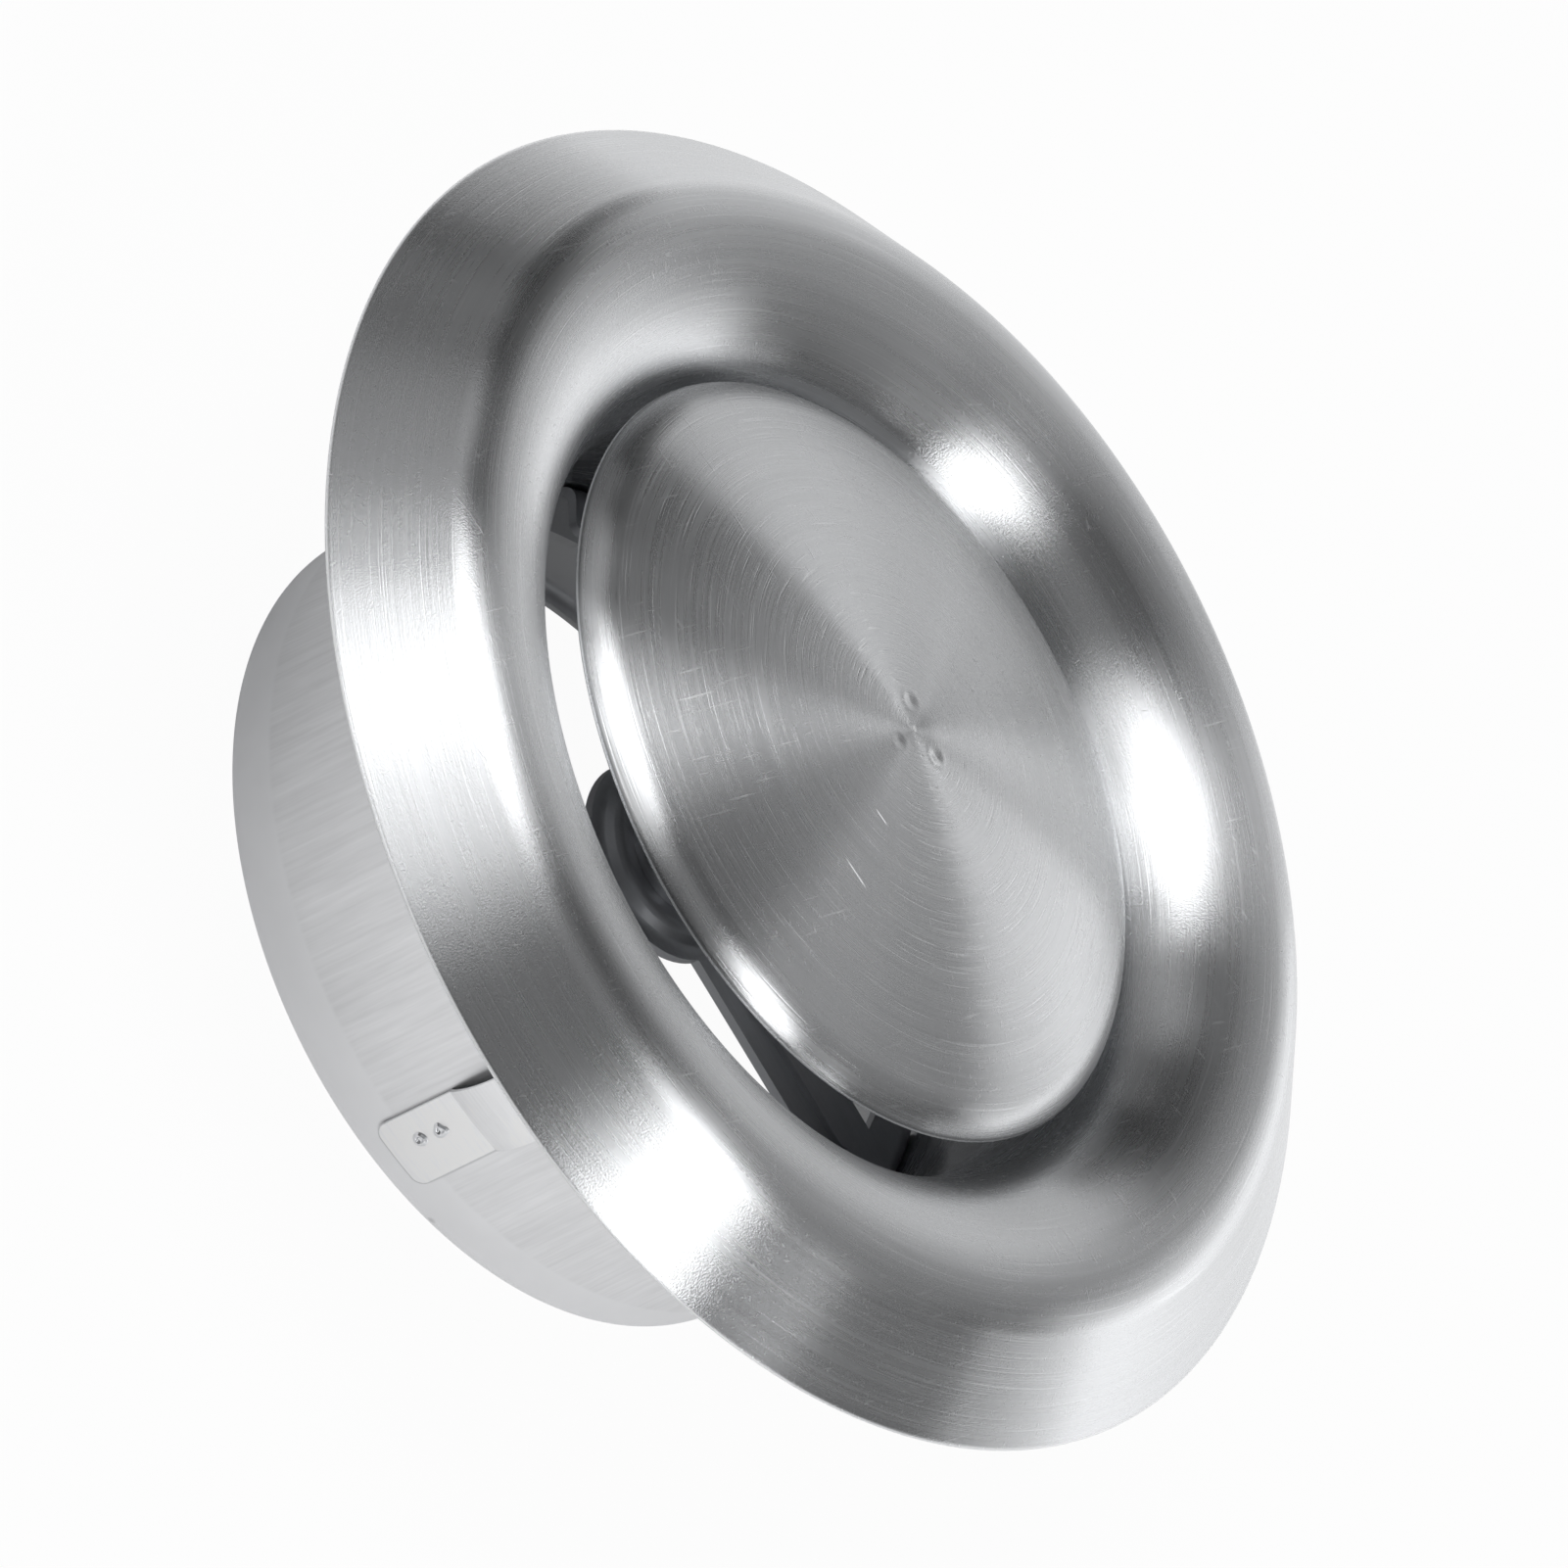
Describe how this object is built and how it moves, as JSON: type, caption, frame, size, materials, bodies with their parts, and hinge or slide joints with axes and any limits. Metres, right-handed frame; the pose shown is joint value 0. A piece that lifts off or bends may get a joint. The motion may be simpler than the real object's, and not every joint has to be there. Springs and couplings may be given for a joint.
{
  "type": "exhaust disc valve",
  "caption": "Round stainless steel vent cover: spun front ring with a funnel throat, duct sleeve with spring clips, and a domed disc that screws in and out on a threaded rod.",
  "frame": {"origin": "centre of the sleeve's rear end, on the plane it stands on", "axes": "+Z along the valve's axis, out of the front; +X along the first arm of the bridge"},
  "size_m": [0.162, 0.162, 0.0632],
  "materials": {
    "spun_steel": "brushed",
    "sleeve_steel": "brushed",
    "pressed_steel": "satin",
    "spring_steel": "satin",
    "fastener_steel": "satin"
  },
  "bodies": {
    "housing": {"front_ring": "spun_steel", "sleeve": "sleeve_steel", "bridge": "pressed_steel", "hub_bush": "fastener_steel", "spring_clip_1": "spring_steel", "spring_clip_2": "spring_steel", "spring_clip_3": "spring_steel", "lock_washer": "fastener_steel"},
    "spindle": {"threaded_rod": "fastener_steel"},
    "disc": {"valve_disc": "spun_steel", "stud_plate": "fastener_steel"},
    "nut": {"lock_nut": "fastener_steel"}
  },
  "joints": [
    {"name": "disc_travel", "type": "slide", "parent": "housing", "child": "spindle", "axis": [0, 0, 1], "range_m": [-0.0024, 0.01]},
    {"name": "disc_turn", "type": "hinge", "parent": "spindle", "child": "disc", "pos_m": [0, 0, 0.0528], "axis": [0, 0, 1], "range_deg": [-864, 3600]},
    {"name": "nut_turn", "type": "hinge", "parent": "housing", "child": "nut", "pos_m": [0, 0, 0.0175], "axis": [0, 0, 1], "range_deg": [-90, 0]}
  ],
  "couplings": [
    {"joint": "disc_travel", "follows": "disc_turn", "m_per_rad": 0.00015915}
  ]
}
